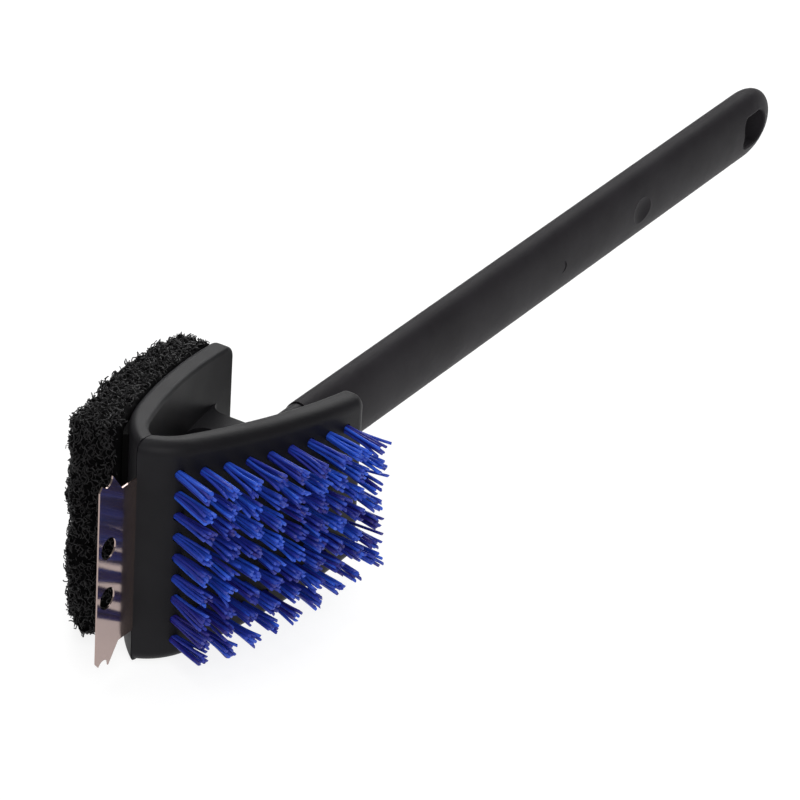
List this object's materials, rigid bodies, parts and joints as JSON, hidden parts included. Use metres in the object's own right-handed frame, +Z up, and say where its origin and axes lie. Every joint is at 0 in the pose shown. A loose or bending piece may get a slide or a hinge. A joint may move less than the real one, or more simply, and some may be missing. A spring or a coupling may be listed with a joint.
{
  "type": "grill cleaning brush",
  "caption": "Long-handled barbecue cleaning brush whose V-shaped head carries stiff nylon tufts, a scouring pad and a notched steel scraper.",
  "frame": {"origin": "centre of the hang hole, at mid thickness of the handle", "axes": "+X along the handle from the head towards the free end, +Z up along the height of the wings, -Y the side of the nylon tufts, +Y the side of the scouring pad"},
  "size_m": [0.4531, 0.0947, 0.0854],
  "materials": {
    "handle_plastic": "fine matt mould texture",
    "head_plastic": "satin mould finish",
    "blue_nylon": "smooth extruded filament",
    "pad_fibre": "coarse open non-woven",
    "blade_steel": "bright rolled, lightly scratched",
    "screw_steel": "zinc plated",
    "staple_steel": "flat wire",
    "glue": "hot-melt film"
  },
  "bodies": {
    "root": {"handle": "handle_plastic", "head_brush_half": "head_plastic", "head_pad_half": "head_plastic", "head_screws": "screw_steel", "pad_glue_film": "glue", "scouring_pad": "pad_fibre", "scraper_blade": "blade_steel", "tuft_column_1": "blue_nylon", "tuft_column_2": "blue_nylon", "tuft_column_3": "blue_nylon", "tuft_column_4": "blue_nylon", "tuft_column_5": "blue_nylon", "tuft_column_6": "blue_nylon", "tuft_column_7": "blue_nylon", "tuft_column_8": "blue_nylon", "tuft_column_9": "blue_nylon", "tuft_staples_1": "staple_steel", "tuft_staples_2": "staple_steel", "tuft_staples_3": "staple_steel", "tuft_staples_4": "staple_steel", "tuft_staples_5": "staple_steel", "tuft_staples_6": "staple_steel", "tuft_staples_7": "staple_steel", "tuft_staples_8": "staple_steel", "tuft_staples_9": "staple_steel"}
  },
  "joints": []
}
